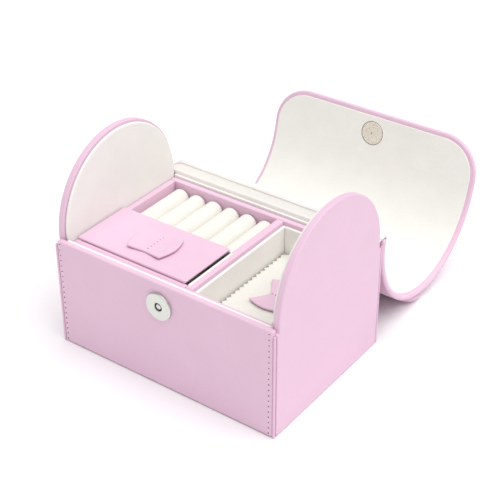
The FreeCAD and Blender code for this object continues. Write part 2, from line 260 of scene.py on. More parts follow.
def velvet(name, shade):
    """Short-pile cotton velvet: no gloss, a pale bloom at grazing angles, faint strokes in the pile."""
    made, tree, place = new_material(name)
    # The pile's tufts are about 0.3 mm apart. They are drawn at 0.9 mm, so that they show.
    tufts = add(tree, "ShaderNodeTexNoise", None, {
        "Vector": place, "Scale": 1 / (0.9 * MM), "Detail": 3.0, "Roughness": 0.6})
    strokes = add(tree, "ShaderNodeTexNoise", None, {
        "Vector": place, "Scale": 1 / (17 * MM), "Detail": 2.0})
    nap = add(tree, "ShaderNodeMix", {"data_type": "RGBA"}, {
        0: strokes.outputs["Fac"], 6: shade_of(shade, 0.94), 7: shade_of(shade, 1.02)})
    speck = add(tree, "ShaderNodeMapRange", None, {
        "Value": tufts.outputs["Fac"], "From Min": 0.3, "From Max": 0.7, "To Min": 0.96, "To Max": 1.0})
    toned = add(tree, "ShaderNodeMix", {"data_type": "RGBA", "blend_type": "MULTIPLY"}, {
        0: 1.0, 6: nap.outputs[2], 7: speck.outputs["Result"]})
    relief = add(tree, "ShaderNodeBump", None, {
        "Strength": 0.18, "Distance": 0.25 * MM, "Height": tufts.outputs["Fac"]})
    close_material(tree, add(tree, "ShaderNodeBsdfPrincipled", None, {
        "Base Color": toned.outputs[2], "Roughness": 0.92, "Normal": relief.outputs["Normal"],
        "IOR": 1.5, "Specular IOR Level": 0.12, "Sheen Weight": 0.25, "Sheen Roughness": 0.45}))
    return made


def satin_nickel():
    """Nickel plate over pressed steel, satin-finished: pale grey, with a soft, slightly cloudy gloss."""
    made, tree, place = new_material("satin_nickel")
    shade = colours().nickel
    clouding = add(tree, "ShaderNodeTexNoise", None, {
        "Vector": place, "Scale": 1 / (2.5 * MM), "Detail": 4.0})
    gloss = add(tree, "ShaderNodeMapRange", None, {
        "Value": clouding.outputs["Fac"], "To Min": 0.24, "To Max": 0.38})
    tone = add(tree, "ShaderNodeMix", {"data_type": "RGBA"}, {
        0: clouding.outputs["Fac"], 6: shade_of(shade, 0.95), 7: shade_of(shade, 1.03)})
    close_material(tree, add(tree, "ShaderNodeBsdfPrincipled", None, {
        "Base Color": tone.outputs[2], "Metallic": 1.0, "Roughness": gloss.outputs["Result"]}))
    return made


def blasted_plate():
    """Grit-blasted plated steel: a dull champagne grey full of bright and dark specks."""
    made, tree, place = new_material("blasted_plate")
    shade = colours().plate
    # Blasting grit leaves pits of about 0.2 mm. They are drawn at 0.8 mm, so that they show.
    grit = add(tree, "ShaderNodeTexVoronoi", None, {"Vector": place, "Scale": 1 / (0.8 * MM)})
    specks = add(tree, "ShaderNodeMix", {"data_type": "RGBA"}, {
        0: grit.outputs["Distance"], 6: shade_of(shade, 1.08), 7: shade_of(shade, 0.62)})
    relief = add(tree, "ShaderNodeBump", None, {
        "Strength": 0.5, "Distance": 0.2 * MM, "Height": grit.outputs["Distance"]})
    close_material(tree, add(tree, "ShaderNodeBsdfPrincipled", None, {
        "Base Color": specks.outputs[2], "Metallic": 0.35, "Roughness": 0.55,
        "Normal": relief.outputs["Normal"]}))
    return made


def twisted_thread():
    """Twisted polyester sewing thread: a little brighter than the leather, with faint bands of painted
    shade in the grooves of its twist.
    """
    made, tree, place = new_material("twisted_thread")
    shade = colours().thread
    # Real twist comes round about every 0.5 mm. Its bands of painted shade are drawn 0.9 mm apart, so
    # that they show:
    # a wave texture's bands lie 0.31 / scale apart.
    twist_groove_shade = add(tree, "ShaderNodeTexWave", None, {"Vector": place, "Scale": 1 / (3.0 * MM)})
    tone = add(tree, "ShaderNodeMix", {"data_type": "RGBA"}, {
        0: twist_groove_shade.outputs["Fac"], 6: shade_of(shade, 0.86), 7: shade_of(shade, 1.02)})
    close_material(tree, add(tree, "ShaderNodeBsdfPrincipled", None, {
        "Base Color": tone.outputs[2], "Roughness": 0.6}))
    return made


def shaded_hole():
    """The inside of a needle hole, drawn dark: painted shade for the shade that falls into the hole."""
    made, tree, place = new_material("shaded_hole")
    shade = colours().hole
    # A fine noise varies the painted shade a little
    fibre = add(tree, "ShaderNodeTexNoise", None, {"Vector": place, "Scale": 1 / (0.6 * MM)})
    tone = add(tree, "ShaderNodeMix", {"data_type": "RGBA"}, {
        0: fibre.outputs["Fac"], 6: shade_of(shade, 0.7), 7: shade_of(shade, 1.2)})
    close_material(tree, add(tree, "ShaderNodeBsdfPrincipled", None, {
        "Base Color": tone.outputs[2], "Roughness": 0.95, "Specular IOR Level": 0.05}))
    return made


def grey_board():
    """Pressed paper board: matt, with short fibres and a faint mottle."""
    made, tree, place = new_material("grey_board")
    shade = colours().card
    fibre = add(tree, "ShaderNodeTexNoise", None, {
        "Vector": place, "Scale": 1 / (1.5 * MM), "Detail": 5.0})
    tone = add(tree, "ShaderNodeMix", {"data_type": "RGBA"}, {
        0: fibre.outputs["Fac"], 6: shade_of(shade, 0.88), 7: shade_of(shade, 1.04)})
    close_material(tree, add(tree, "ShaderNodeBsdfPrincipled", None, {
        "Base Color": tone.outputs[2], "Roughness": 0.9}))
    return made


def paper_sweep():
    """Seamless background paper: matt white with a very faint tooth."""
    made, tree, place = new_material("paper_sweep")
    tooth = add(tree, "ShaderNodeTexNoise", None, {"Vector": place, "Scale": 1 / (3 * MM)})
    tone = add(tree, "ShaderNodeMix", {"data_type": "RGBA"}, {
        0: tooth.outputs["Fac"], 6: linear("#FAF9FA"), 7: linear("#FDFCFD")})
    close_material(tree, add(tree, "ShaderNodeBsdfPrincipled", None, {
        "Base Color": tone.outputs[2], "Roughness": 0.9, "Specular IOR Level": 0.1}))
    return made


# Each finish's material and the record's slot for it
FINISHES = {
    "leather": (embossed_leather, "pink_leather"),
    "velvet": (short_pile_velvet, "white_velvet"),
    # The tray's velvet: the same cloth drawn darker, as painted shade
    "warm_shaded": (cream_velvet, "white_velvet"),
    "nickel": (satin_nickel, "snap_metal"),
    "plate": (blasted_plate, "snap_metal"),
    "thread": (twisted_thread, "pink_leather"),
    "hole": (shaded_hole, "pink_leather"),
    "card": (grey_board, "inner_card"),
}


def finish_material(finish):
    """A finish's material, made when it is first asked for."""
    maker = FINISHES[finish][0]
    return bpy.data.materials.get(maker.__name__) or maker()


# Mesh building

# An edge that turns by more than this is a rim
RIM_ANGLE = math.radians(50)
ARCH_STEPS = 72


def slab(outline, low, high, rounding, segments=3):
    """A sheet cut to an outline of (a, b) points, its thickness along c and its rims rounded."""
    build = bmesh.new()
    under = [build.verts.new((a, b, low)) for a, b in outline]
    over = [build.verts.new((a, b, high)) for a, b in outline]
    build.faces.new(list(reversed(under)))
    build.faces.new(over)
    for here in range(len(outline)):
        there = (here + 1) % len(outline)
        build.faces.new((under[here], under[there], over[there], over[here]))
    build.normal_update()
    rims = [edge for edge in build.edges if edge.calc_face_angle() > RIM_ANGLE]
    bmesh.ops.bevel(
        build, geom=rims, offset=rounding, offset_type="OFFSET", segments=segments,
        profile=0.5, affect="EDGES", clamp_overlap=True
    )
    return build


def slice_across(build, normal, places):
    """Cut a build by parallel planes, so that it can be bent."""
    for spot in places:
        everything = build.verts[:] + build.edges[:] + build.faces[:]
        bmesh.ops.bisect_plane(build, geom=everything, plane_co=Vector(normal) * spot, plane_no=normal)


def steps(low, high, count):
    """Even steps from low to high, both included."""
    return [low + (high - low) * step / count for step in range(count + 1)]


def rectangle(low_a, high_a, low_b, high_b):
    """The corners of a rectangle, anticlockwise."""
    return [(low_a, low_b), (high_a, low_b), (high_a, high_b), (low_a, high_b)]


def arc(centre, radius, start, end, count):
    """Points along part of a circle, from one angle to another."""
    return [
        (centre[0] + radius * math.cos(angle), centre[1] + radius * math.sin(angle))
        for angle in steps(start, end, count)
    ]


def round_rectangle(low_a, high_a, low_b, high_b, radius, count=8, corners=(True, True, True, True)):
    """A rectangle, anticlockwise from its first corner, with the asked corners made round."""
    spots = rectangle(low_a, high_a, low_b, high_b)
    inward = ((1, 1), (-1, 1), (-1, -1), (1, -1))
    outline = []
    for number, (spot, way, is_round) in enumerate(zip(spots, inward, corners)):
        if is_round:
            centre = (spot[0] + way[0] * radius, spot[1] + way[1] * radius)
            start = math.pi + number * math.pi / 2
            outline += arc(centre, radius, start, start + math.pi / 2, count)
        else:
            outline.append(spot)
    return outline


def eased(outline, rounds=2):
    """An outline with its corners cut, a quarter of each side at a time."""
    for _ in range(rounds):
        sides = zip(outline, outline[1:] + outline[:1])
        outline = [
            tuple(Vector(here).lerp(Vector(there), share))
            for here, there in sides for share in (0.25, 0.75)
        ]
    return outline


# Which way a slab's (a, b, c) lie in space, by the axis that its thickness follows
TO_SPACE = {
    "x": lambda a, b, c: Vector((c, a, b)),
    "y": lambda a, b, c: Vector((a, c, b)),
    "z": lambda a, b, c: Vector((a, b, c)),
}


def laid(build, to_space):
    """Carry every point of a build to its place in space, faces outward."""
    for vert in build.verts:
        vert.co = to_space(*vert.co)
    bmesh.ops.recalc_face_normals(build, faces=build.faces)
    return build


def lathe(profile, centre, axis, count=64):
    """Turn a profile of (radius, height) points about an axis."""
    build = bmesh.new()
    rings = []
    for radius, height in profile:
        if radius == 0:
            rings.append([build.verts.new((0, 0, height))])
            continue
        circle = arc((0, 0), radius, 0, 2 * math.pi, count)[:-1]
        rings.append([build.verts.new((x, y, height)) for x, y in circle])
    for ring, following in zip(rings, rings[1:]):
        for here in range(count):
            there = (here + 1) % count
            corners = [ring[here % len(ring)], ring[there % len(ring)]]
            corners += [following[there % len(following)], following[here % len(following)]]
            build.faces.new(list(dict.fromkeys(corners)))
    turn = Vector(axis).to_track_quat("Z", "Y").to_matrix().to_4x4()
    bmesh.ops.transform(build, matrix=Matrix.Translation(centre) @ turn, verts=build.verts)
    bmesh.ops.recalc_face_normals(build, faces=build.faces)
    return build


def join(build, extra):
    """Add a second build to a first one."""
    mesh = bpy.data.meshes.new("extra")
    extra.to_mesh(mesh)
    extra.free()
    build.from_mesh(mesh)
    bpy.data.meshes.remove(mesh)


def make_piece(name, build, finish, crease=40):
    """Turn a build into an object with its finish, smooth but for its creases."""
    mesh = bpy.data.meshes.new(name)
    build.to_mesh(mesh)
    build.free()
    mesh.materials.append(finish_material(finish))
    mesh.shade_smooth()
    mesh.set_sharp_from_angle(angle=math.radians(crease))
    piece = bpy.data.objects.new(name, mesh)
    bpy.context.scene.collection.objects.link(piece)
    even_shading(piece)
    return piece


def even_shading(piece):
    """Weigh the normals by face area, so that flat faces look flat beside their rounded rims."""
    even = piece.modifiers.new("even_shading", "WEIGHTED_NORMAL")
    even.keep_sharp = True


def baked(piece):
    """A plain mesh of a piece as its modifiers leave it, without them."""
    bpy.context.view_layer.update()
    graph = bpy.context.evaluated_depsgraph_get()
    mesh = bpy.data.meshes.new_from_object(piece.evaluated_get(graph))
    piece.modifiers.clear()
    return mesh


def settle(piece, body, finish, *nodes):
    """Let a piece ride on its body and stand for its solids."""
    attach(piece, body)
    if nodes:
        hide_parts(*nodes)
    return piece


def dressed(name, build, body, finish, *nodes, crease=40):
    """Make a piece and settle it."""
    return settle(make_piece(name, build, finish, crease), body, finish, *nodes)


def opened(across, depth, height):
    """Where a point of the shut lid lies when the lid is open."""
    return SHUT_TO_OPEN @ Vector((across, depth, height))


def thin_axis(low, high):
    """The axis along which a box is thinnest."""
    return "xyz"[min(range(3), key=lambda index: high[index] - low[index])]


def board(node, body, finish, rounding, inset=0.0, trim=(0, 0, 0), foot=0.0, top=0.0):
    """A wrapped board in the place of a flat solid, trimmed at its ends, foot and top where asked."""
    low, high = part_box(node)
    low += Vector(trim) + Vector((0, 0, foot))
    high -= Vector(trim) + Vector((0, 0, top))
    axis = thin_axis(low, high)
    a, b, c = {"x": (1, 2, 0), "y": (0, 2, 1), "z": (0, 1, 2)}[axis]
    outline = rectangle(low[a] + inset, high[a] - inset, low[b] + inset, high[b] - inset)
    build = laid(slab(outline, low[c], high[c], rounding), TO_SPACE[axis])
    return dressed(f"{node}_wrap", build, body, finish, node)


def arched_board(node, body, finish, rounding, foot=0.0, fold=0.0, fold_top=0.0):
    """A wrapped board with a half-round top, which may reach past its sides as far up as fold_top."""
    low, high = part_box(node)
    low.z += foot
    centre = (0, high.z - high.y)
    outline = [(low.y - fold, low.z), (high.y + fold, low.z)]
    if fold:
        outline += [(high.y + fold, fold_top), (high.y, fold_top)]
    outline += arc(centre, high.y, 0, math.pi, ARCH_STEPS)
    if fold:
        outline += [(low.y, fold_top), (low.y - fold, fold_top)]
    build = laid(slab(outline, low.x, high.x, rounding, segments=4), TO_SPACE["x"])
    return dressed(f"{node}_wrap", build, body, finish, node, crease=50)


# Operators

class MakeBoards(bpy.types.Operator):
    """Make the leather-wrapped boards of the case and the piping of its corners"""

    bl_idname = "jewellery_case.boards"
    bl_label = "Case boards"

    # The front and back panels stop short of the corners, and the end panels fold towards them
    end_trim = 1.8 * MM
    fold = 1.8 * MM
    fold_drop = 2.6 * MM
    piping_radius = 0.75 * MM
    piping_inset = 0.85 * MM
    piping_set_back = 0.7 * MM
    piping_sides = 20

    def execute(self, context):
        foot = sizes().floor_gap
        fold_top = FRONT_HIGH.z - self.fold_drop
        for node in ("front_panel", "back_panel"):
            trim = (self.end_trim, 0, 0)
            board(node, "case", "leather", sizes().panel_round, trim=trim, foot=foot)
        for node in ("left_end_panel", "right_end_panel"):
            rounding = sizes().wrap_round
            arched_board(node, "case", "leather", rounding, foot, self.fold, fold_top)
        board("base_board", "case", "leather", sizes().card_round)
        self.make_piping(foot, fold_top)
        return {"FINISHED"}

    def make_piping(self, foot, top):
        """The leather piping sewn into the four upright corners."""
        radius = self.piping_radius
        height = top - foot
        tip = arc((0, height - radius), radius, 0, math.pi / 2, 5)[:-1]
        profile = [(0, 0), (radius, 0)] + tip + [(0, height)]
        across = HALF_WIDTH - self.piping_inset
        depth = -FRONT_LOW.y - self.piping_set_back
        build = bmesh.new()
        for x, y in rectangle(-across, across, -depth, depth):
            join(build, lathe(profile, Vector((x, y, foot)), (0, 0, 1), self.piping_sides))
        dressed("corner_piping", build, "case", "leather")


class MakeLinings(bpy.types.Operator):
    """Make the velvet-covered cards that line the case, and the ledges that carry the tray"""

    bl_idname = "jewellery_case.linings"
    bl_label = "Case linings"

    front_rise = 0.7 * MM
    back_drop = 0.6 * MM

    def execute(self, context):
        rounding = sizes().card_round
        for node in ("floor_lining", "front_ledge", "back_ledge"):
            board(node, "case", "velvet", rounding)
        board("front_lining", "case", "velvet", rounding, top=-self.front_rise)
        board("back_lining", "case", "velvet", rounding / 2, top=self.back_drop)
        for node in ("left_lining", "right_lining"):
            arched_board(node, "case", "velvet", sizes().arch_lining_round)
        return {"FINISHED"}


class MakeTray(bpy.types.Operator):
    """Make the walls, divider and floor of the lift-out tray"""

    bl_idname = "jewellery_case.tray"
    bl_label = "Tray"

    facing_thick = 1.7 * MM
    facing_round = 0.4 * MM
    facing_sunk = 0.1 * MM
    facing_gap = 0.2 * MM
    facing_rise = 0.15 * MM
    sill_thick = 2.6 * MM
    sill_drop = 0.05 * MM

    def execute(self, context):
        rounding = sizes().tray_round
        for side in ("front_wall", "back_wall", "left_wall", "right_wall", "divider"):
            board(f"tray_{side}", "tray", "leather", rounding)
        # The cross wall and the pad take the darker velvet, painted shade against the light on their
        # tops
        board("tray_cross_wall", "tray", "warm_shaded", rounding)
        board("tray_floor", "tray", "card", sizes().card_round)
        pad = board("earring_pad", "tray", "warm_shaded", sizes().card_round)
        self.make_facings()
        return {"FINISHED"}

    def make_facings(self):
        """The velvet card on the bay's side of the divider, and the leather sill at the bay's front."""
        low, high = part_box("tray_divider")
        pad_low, pad_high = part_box("earring_pad")
        front = pad_low.y + self.sill_thick
        outline = rectangle(front, pad_high.y - self.facing_gap, pad_high.z, high.z + self.facing_rise)
        card = slab(outline, low.x - self.facing_sunk, low.x + self.facing_thick, self.facing_round)
        dressed("divider_facing", laid(card, TO_SPACE["x"]), "tray", "velvet")
        outline = rectangle(pad_low.x, low.x, pad_high.z, high.z - self.sill_drop)
        sill = slab(outline, pad_low.y - self.facing_sunk, front, self.facing_round)
        dressed("bay_front_facing", laid(sill, TO_SPACE["y"]), "tray", "leather")


class MakeRingRolls(bpy.types.Operator):
    """Make the stuffed velvet rolls that grip rings"""

    bl_idname = "jewellery_case.ring_rolls"
    bl_label = "Ring rolls"

    end_round = 2.2 * MM
    arc_steps = 40
    # The simulation starts from a smaller roll, drawn enlarged, and holds the lowest share of its
    # height and its two ends
    slack = 0.45 * MM
    enlarged = 10
    voxel = 8.0 * MM
    pressure = 4.0
    frames = 20
    most_moved = 0.6 * MM
    held_foot = 0.3
    held_end = 1.2 * MM
    gather = 0.10 * MM
    gather_reach = 9.0 * MM
    gather_count = 24

    def execute(self, context):
        nodes = sorted(name for name in frame["nodes"] if name.startswith("ring_roll_"))
        low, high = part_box(nodes[0])
        self.reach = (high - low) / 2
        stuffed = self.stuffed_mesh()
        for number, node in enumerate(nodes):
            low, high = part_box(node)
            build = bmesh.new()
            build.from_mesh(stuffed)
            place = Matrix.Translation((low + high) / 2)
            half_turn = Matrix.Rotation(math.pi * (number % 2), 4, "Z")
            bmesh.ops.transform(build, matrix=place @ half_turn, verts=build.verts)
            # The rolls take the darker velvet, painted shade against the light on their tops
            roll = dressed(f"{node}_velvet", build, "tray", "warm_shaded", node, crease=80)
        bpy.data.meshes.remove(stuffed)
        return {"FINISHED"}

    def plain_roll(self):
        """The roll before it is stuffed: flat foot, straight sides, round back, about its own middle."""
        half = self.reach.x - self.slack
        foot = -self.reach.z
        shoulder = self.reach.z - self.slack - half
        outline = [(-half, foot), (half, foot)]
        outline += arc((0, shoulder), half, 0, math.pi, self.arc_steps)
        end = self.reach.y - self.slack
        return laid(slab(outline, -end, end, self.end_round, segments=5), TO_SPACE["y"])

    def stuffed_mesh(self):
        """One roll blown up by a short cloth simulation, enlarged for it, then gathered at its ends."""
        trial = make_piece("roll_trial", self.plain_roll(), "warm_shaded")
        trial.data.transform(Matrix.Scale(self.enlarged, 4))
        trial.modifiers.clear()
        remesh = trial.modifiers.new("even_faces", "REMESH")
        remesh.mode = "VOXEL"
        remesh.voxel_size = self.voxel
        trial.data = baked(trial)
        self.blow_up(trial)
        finer = trial.modifiers.new("finer_faces", "SUBSURF")
        finer.levels = 1
        finer.render_levels = 1
        stuffed = baked(trial)
        bpy.data.objects.remove(trial)
        stuffed.transform(Matrix.Scale(1 / self.enlarged, 4))
        for vert in stuffed.vertices:
            vert.co += self.gathered(vert.co)
        return stuffed

    def blow_up(self, trial):
        """Run the simulation with the roll's foot and ends held, and cap how far a point may move."""
        before = [vert.co.copy() for vert in trial.data.vertices]
        foot = (self.held_foot * 2 - 1) * self.reach.z * self.enlarged
        end = (self.reach.y - self.slack - self.held_end) * self.enlarged
        still = [number for number, spot in enumerate(before) if spot.z < foot or abs(spot.y) > end]
        held = trial.vertex_groups.new(name="held")
        held.add(still, 1.0, "REPLACE")
        stuffing = trial.modifiers.new("stuffing", "CLOTH")
        stuffing.settings.vertex_group_mass = held.name
        stuffing.settings.use_pressure = True
        stuffing.settings.uniform_pressure_force = self.pressure
        stuffing.settings.effector_weights.gravity = 0
        stuffing.collision_settings.use_collision = False
        for number in range(1, self.frames + 1):
            bpy.context.scene.frame_set(number)
        trial.data = baked(trial)
        bpy.context.scene.frame_set(1)
        most = self.most_moved * self.enlarged
        for vert, spot in zip(trial.data.vertices, before):
            moved = vert.co - spot
            if moved.length > most:
                vert.co = spot + moved * (most / moved.length)

    def gathered(self, spot):
        """How far the gathers at a roll's end move a point of its round back."""
        shoulder = self.reach.z - self.reach.x
        from_end = self.reach.y - abs(spot.y)
        if spot.z < shoulder or from_end > self.gather_reach:
            return Vector()
        turn = math.atan2(spot.z - shoulder, spot.x)
        fade = 1 - from_end / self.gather_reach
        depth = self.gather * fade * math.sin(self.gather_count * turn)
        return Vector((spot.x, 0, spot.z - shoulder)).normalized() * depth


class MakeWell(bpy.types.Operator):
    """Make the velvet well, the rests inside it and its loose pinked cover"""

    bl_idname = "jewellery_case.well"
    bl_label = "Velvet well and cover"

    def execute(self, context):
        rounding = sizes().card_round
        # The walls take the case's lighter velvet, painted light in the well's shade
        for side in ("left_wall", "right_wall", "front_wall", "back_wall", "floor"):
            board(f"well_{side}", "tray", "velvet", rounding)
        for node in ("cover_front_rest", "cover_back_rest"):
            board(node, "tray", "velvet", rounding)
        board("cover_board", "well_cover", "card", rounding / 2)
        self.make_cover()
        return {"FINISHED"}

    def make_cover(self):
        """The loose velvet cover, cut with pinking shears."""
        low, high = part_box("cover_velvet")
        build = slab(self.pinked(low, high), low.z, high.z, sizes().card_round / 3, segments=2)
        build = laid(build, TO_SPACE["z"])
        # The cover takes the darker velvet, painted shade against the light on its top
        cover = dressed("cover_velvet_cloth", build, "well_cover", "warm_shaded", "cover_velvet")

    def pinked(self, low, high):
        """The cover's outline with zigzag teeth on all four sides."""
        depth = sizes().pinking_depth
        corners = rectangle(low.x, high.x, low.y, high.y)
        outline = []
        for here, there in zip(corners, corners[1:] + corners[:1]):
            run = Vector(there) - Vector(here)
            inward = Vector((-run.y, run.x)).normalized() * depth
            teeth = round(run.length / sizes().pinking_pitch)
            for tooth in range(teeth):
                if tooth:
                    outline.append(Vector(here) + run * tooth / teeth)
                else:
                    outline.append(Vector(here) + run.normalized() * depth / 2 + inward / 2)
                outline.append(Vector(here) + run * (tooth + 0.5) / teeth + inward)
        return [tuple(spot) for spot in outline]


class MakeBayLid(bpy.types.Operator):
    """Make the loose leather lid of the earring bay with the velvet pad under it"""

    bl_idname = "jewellery_case.bay_lid"
    bl_label = "Earring bay lid"

    pad_inset = 2.0 * MM

    def execute(self, context):
        board("bay_lid_board", "bay_lid", "leather", sizes().card_round)
        rounding = sizes().card_round / 2
        pad = board("bay_lid_pad", "bay_lid", "velvet", rounding, inset=self.pad_inset)
        return {"FINISHED"}


class MakeBows(bpy.types.Operator):
    """Make the two bow pull tabs, sewn down at the waist with their wings curling up"""

    bl_idname = "jewellery_case.bows"
    bl_label = "Bow tabs"

    bay_waist = 20.5 * MM
    cover_waist = 10.0 * MM
    end_bulge = 3.0 * MM
    wing_trim = 1.0 * MM
    edge_round = 0.5 * MM
    hollow_power = 1.2
    curl_power = 1.6
    corner_curl = 0.25
    slice_count = 14
    side_steps = 16
    end_steps = 12

    def execute(self, context):
        self.make_bow("bay_bow", "bay_lid", along="x", waist=self.bay_waist)
        self.make_bow("cover_bow", "well_cover", along="y", waist=self.cover_waist)
        return {"FINISHED"}

    def make_bow(self, node, body, along, waist):
        """One bow, with its wings pointing along an axis."""
        low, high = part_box(node)
        centre = (low + high) / 2
        index = "xy".index(along)
        half_long = (high[index] - low[index]) / 2
        half_wide = (high[1 - index] - low[1 - index]) / 2 - self.wing_trim
        outline = self.outline(half_long, half_wide, waist / 2)
        build = slab(outline, 0, high.z - low.z, self.edge_round)
        slice_across(build, (1, 0, 0), steps(-half_long, half_long, self.slice_count)[1:-1])
        lift = sizes().bow_lift

        def curled(a, b, c):
            share = min(1.0, abs(a) / half_long)
            corner = 1 - self.corner_curl + self.corner_curl * abs(b) / half_wide
            rise = low.z + c + lift * share ** self.curl_power * corner
            if along == "x":
                return Vector((centre.x + a, centre.y + b, rise))
            return Vector((centre.x - b, centre.y + a, rise))

        dressed(f"{node}_leather", laid(build, curled), body, "leather", node)

    def outline(self, half_long, half_wide, half_waist):
        """A bow: hollow long sides that meet bulging ends."""
        straight = half_long - self.end_bulge

        def side(turn):
            points = []
            for share in steps(-1, 1, self.side_steps):
                hollow = half_waist + (half_wide - half_waist) * abs(share) ** self.hollow_power
                points.append((turn * straight * share, -turn * hollow))
            return points

        def end(turn):
            points = []
            for share in steps(-1, 1, self.end_steps)[1:-1]:
                bulge = self.end_bulge * math.cos(share * math.pi / 2)
                points.append((turn * (straight + bulge), turn * half_wide * share))
            return points

        return eased(side(1) + end(1) + side(-1) + end(-1))


class MakeLid(bpy.types.Operator):
    """Make the curved lid shell and its velvet lining, swung open"""

    bl_idname = "jewellery_case.lid"
    bl_label = "Lid"

    bend_steps = 56
    flap_steps = 10
    corner_steps = 12
    most_rounded = 0.45
    rim_room = 1.2
    lining_proud = 0.9 * MM
    lining_sunk = 0.1 * MM
    window_radius = 8.5 * MM

    def execute(self, context):
        rise = LID_BACK_LOW - ARCH_CENTRE
        back_angle = math.asin(rise / (SHELL_INNER + LID_BOARD / 2))
        self.run = FLAP_LENGTH + (math.pi - back_angle) * SHELL_INNER
        shell = self.sheet("lid_shell_wrap", 0, SHELL_INNER, SHELL_OUTER, "leather")
        settle(shell, "lid", "leather", "lid_shell")
        inner = SHELL_INNER - self.lining_proud
        outer = SHELL_INNER + self.lining_sunk
        lining = self.sheet("lid_lining_velvet", LID_MARGIN, inner, outer, "velvet")
        self.cut_window(lining)
        settle(lining, "lid", "velvet", "lid_lining")
        return {"FINISHED"}

    def sheet(self, name, margin, inner, outer, finish):
        """A sheet laid flat by its length, a margin inside the lid's rim, then bent round the lid."""
        half = HALF_WIDTH - margin
        outline = round_rectangle(
            -half, half, margin, self.run - margin, FLAP_CORNER - margin,
            count=self.corner_steps, corners=(True, True, False, False)
        )
        rounding = min(sizes().lid_round, (outer - inner) * self.most_rounded)
        build = slab(outline, inner, outer, rounding, segments=4)
        bends = steps(0, FLAP_LENGTH, self.flap_steps)
        bends += steps(FLAP_LENGTH, self.run, self.bend_steps)[1:]
        inside = margin + self.rim_room * rounding
        slice_across(build, (0, 1, 0), [spot for spot in bends if inside < spot < self.run - inside])

        def bent(across, along, radius):
            if along < FLAP_LENGTH:
                return opened(across, -LID_FORWARD - radius, FLAP_LOW + along)
            angle = math.pi - (along - FLAP_LENGTH) / SHELL_INNER
            depth = -LID_FORWARD + radius * math.cos(angle)
            return opened(across, depth, ARCH_CENTRE + radius * math.sin(angle))

        return make_piece(name, laid(build, bent), finish, crease=50)

    def cut_window(self, lining):
        """Cut the round window for the snap plate."""
        radius = self.window_radius
        profile = [(0, -radius), (radius, -radius), (radius, radius), (0, radius)]
        cutter = make_piece("window_cutter", lathe(profile, PLATE_SPOT, PLATE_FACING), "velvet")
        lining.modifiers.clear()
        cut = lining.modifiers.new("window", "BOOLEAN")
        cut.object = cutter
        lining.data = baked(lining)
        bpy.data.objects.remove(cutter)
        even_shading(lining)


class MakeHinge(bpy.types.Operator):
    """Make the leather hinge roll and the velvet cloth that passes over it from the case to the lid"""

    bl_idname = "jewellery_case.hinge"
    bl_label = "Hinge roll and cloth"

    # The cloth's path across the hinge at rest, in (y, z) millimetres
    path = (
        (51.8, 70.6), (51.45, 72.6), (51.7, 74.2), (52.8, 75.2), (54.5, 76.9),
        (55.75, 78.2), (55.55, 78.6), (56.2, 79.3), (57.4, 80.1), (58.8, 80.2),
        (60.2, 79.4), (61.2, 77.2), (61.7, 73.6), (61.7, 69.8),
    )
    path_steps = 5
    cloth_thick = 0.4 * MM
    cloth_half = 78.8 * MM
    cloth_steps = 64
    end_slope = 8.0 * MM
    end_drop = 0.9
    sag_above = 0.5 * MM
    ripple = 0.2 * MM
    ripple_size = 16.0 * MM
    fold_at = 52.0 * MM
    fold_keep = 0.15
    roll_shift = Vector((0, 0.3 * MM, 0.1 * MM))
    roll_short = 6.0 * MM
    roll_taper = 4
    roll_sides = 32
    foot_thick = 1.0 * MM
    foot_round = 0.3 * MM
    foot_sunk = 0.1 * MM

    def execute(self, context):
        self.make_roll()
        self.make_cloth()
        return {"FINISHED"}

    def make_roll(self):
        """The leather roll with tapered ends, standing on a strip along the back panel."""
        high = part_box("hinge_roll")[1]
        radius = high.y - PIVOT.y - self.roll_shift.y
        half = high.x - self.roll_short
        taper = self.roll_taper * radius
        tip = []
        for angle in steps(0, math.pi / 2, 8)[1:]:
            tip.append((radius * math.sin(angle), -half + taper * (1 - math.cos(angle))))
        far_tip = [(spot, -height) for spot, height in reversed(tip)]
        profile = [(0, -half)] + tip + far_tip + [(0, half)]
        build = lathe(profile, PIVOT + self.roll_shift, (1, 0, 0), self.roll_sides)
        # The strip reaches up into the roll
        outer = -FRONT_LOW.y
        top = PIVOT.z - (FRONT_HIGH.y - FRONT_LOW.y) / 4
        outline = rectangle(taper - half, half - taper, FRONT_HIGH.z - self.foot_sunk, top)
        foot = slab(outline, outer - self.foot_thick, outer, self.foot_round)
        join(build, laid(foot, TO_SPACE["y"]))
        dressed("hinge_roll_wrap", build, "case", "leather", "hinge_roll")

    def make_cloth(self):
        """The cloth over the roll, faintly rippled, sloping down at its two ends."""
        curve = smooth_path([Vector((0, y * MM, z * MM)) for y, z in self.path], self.path_steps)
        build = bmesh.new()
        rows = []
        for across in steps(-self.cloth_half, self.cloth_half, self.cloth_steps):
            past = max(0.0, abs(across) - (self.cloth_half - self.end_slope)) / self.end_slope
            row = []
            for spot in curve:
                above = max(0.0, spot.z - FRONT_HIGH.z - self.sag_above)
                sag = self.end_drop * past ** 2 * above
                place = Vector((across, spot.y, spot.z)) / self.ripple_size
                ripple = self.ripple * noise.noise(place)
                row.append(build.verts.new((across, spot.y, spot.z - sag + ripple)))
            rows.append(row)
        for row, following in zip(rows, rows[1:]):
            for here in range(len(curve) - 1):
                build.faces.new((row[here], following[here], following[here + 1], row[here + 1]))
        bmesh.ops.recalc_face_normals(build, faces=build.faces)
        if build.faces[0].normal.y > 0:
            bmesh.ops.reverse_faces(build, faces=build.faces)
        bmesh.ops.solidify(build, geom=build.faces[:], thickness=self.cloth_thick)
        cloth = dressed("hinge_cloth", build, "case", "velvet", crease=60)
        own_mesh(cloth)


